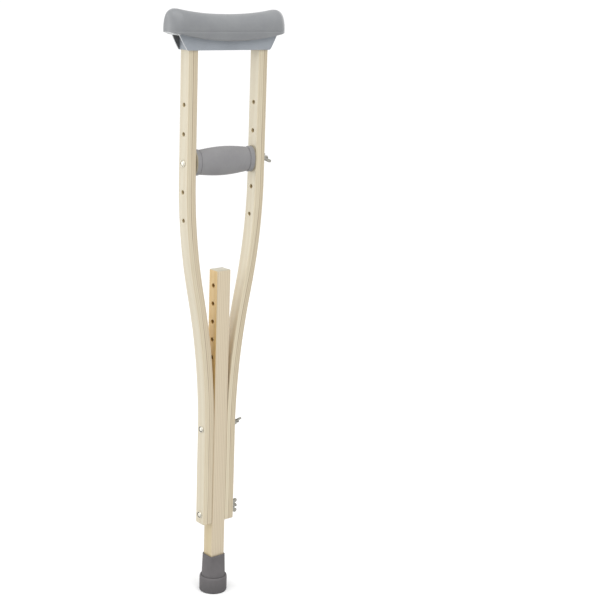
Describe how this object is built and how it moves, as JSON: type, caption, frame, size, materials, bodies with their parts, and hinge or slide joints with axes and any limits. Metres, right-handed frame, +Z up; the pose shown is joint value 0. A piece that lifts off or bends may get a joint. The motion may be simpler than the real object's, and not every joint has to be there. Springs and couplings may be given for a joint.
{
  "type": "underarm crutch",
  "caption": "Wooden underarm crutch with two bent uprights, a moulded rubber underarm pad, a bolted oval barrel grip, a sliding extension leg held by wing nuts, and a rubber foot tip.",
  "frame": {"origin": "centre of the rubber tip's ground face, on the leg's axis", "axes": "+Z up along the leg, X across the two uprights with the bolt heads on -X and the wing nuts on +X, -Y the front"},
  "size_m": [0.1868, 0.04, 0.8194],
  "materials": {
    "bow_wood": "clear satin lacquer",
    "leg_wood": "clear satin lacquer",
    "hidden_wood": "bare",
    "pad_rubber": "matt",
    "grip_rubber": "matt",
    "tip_rubber": "matt",
    "steel": "bright zinc plate"
  },
  "bodies": {
    "frame": {"left_bow": "bow_wood", "right_bow": "bow_wood", "underarm_crosspiece": "hidden_wood", "left_crosspiece_screw": "steel", "right_crosspiece_screw": "steel", "underarm_pad": "pad_rubber"},
    "leg": {"extension_leg": "leg_wood", "foot_tip": "tip_rubber", "tip_washer": "steel"},
    "grip": {"handgrip_core": "hidden_wood", "handgrip_sleeve": "grip_rubber"},
    "grip_bolt": {"handgrip_bolt": "steel"},
    "grip_washer": {"handgrip_washer": "steel"},
    "grip_nut": {"handgrip_wing_nut": "steel"},
    "upper_bolt": {"upper_leg_bolt": "steel"},
    "upper_washer": {"upper_leg_washer": "steel"},
    "upper_nut": {"upper_leg_wing_nut": "steel"},
    "lower_bolt": {"lower_leg_bolt": "steel"},
    "lower_washer": {"lower_leg_washer": "steel"},
    "lower_nut": {"lower_leg_wing_nut": "steel"}
  },
  "joints": [
    {"name": "leg_extension", "type": "slide", "parent": "frame", "child": "leg", "axis": [0, 0, -1], "range_m": [0, 0.4572]},
    {"name": "grip_turn", "type": "hinge", "parent": "frame", "child": "grip", "pos_m": [0, 0, 0.6209], "axis": [1, 0, 0], "continuous": true},
    {"name": "grip_bolt_draw", "type": "slide", "parent": "frame", "child": "grip_bolt", "axis": [-1, 0, 0], "range_m": [0, 0.1408]},
    {"name": "grip_washer_travel", "type": "slide", "parent": "frame", "child": "grip_washer", "axis": [1, 0, 0], "range_m": [0, 0.009]},
    {"name": "grip_nut_turn", "type": "hinge", "parent": "grip_washer", "child": "grip_nut", "pos_m": [0.0662, 0, 0.6209], "axis": [1, 0, 0], "range_deg": [0, 2970]},
    {"name": "upper_bolt_draw", "type": "slide", "parent": "frame", "child": "upper_bolt", "axis": [-1, 0, 0], "range_m": [0, 0.0632]},
    {"name": "upper_washer_travel", "type": "slide", "parent": "frame", "child": "upper_washer", "axis": [1, 0, 0], "range_m": [0, 0.009]},
    {"name": "upper_nut_turn", "type": "hinge", "parent": "upper_washer", "child": "upper_nut", "pos_m": [0.0276, 0, 0.2475], "axis": [1, 0, 0], "range_deg": [0, 2970]},
    {"name": "lower_bolt_draw", "type": "slide", "parent": "frame", "child": "lower_bolt", "axis": [-1, 0, 0], "range_m": [0, 0.0632]},
    {"name": "lower_washer_travel", "type": "slide", "parent": "frame", "child": "lower_washer", "axis": [1, 0, 0], "range_m": [0, 0.009]},
    {"name": "lower_nut_turn", "type": "hinge", "parent": "lower_washer", "child": "lower_nut", "pos_m": [0.0276, 0, 0.1205], "axis": [1, 0, 0], "range_deg": [0, 2970]}
  ],
  "couplings": [
    {"joint": "grip_washer_travel", "follows": "grip_nut_turn", "m_per_rad": 0.00016844},
    {"joint": "upper_washer_travel", "follows": "upper_nut_turn", "m_per_rad": 0.00016844},
    {"joint": "lower_washer_travel", "follows": "lower_nut_turn", "m_per_rad": 0.00016844}
  ]
}
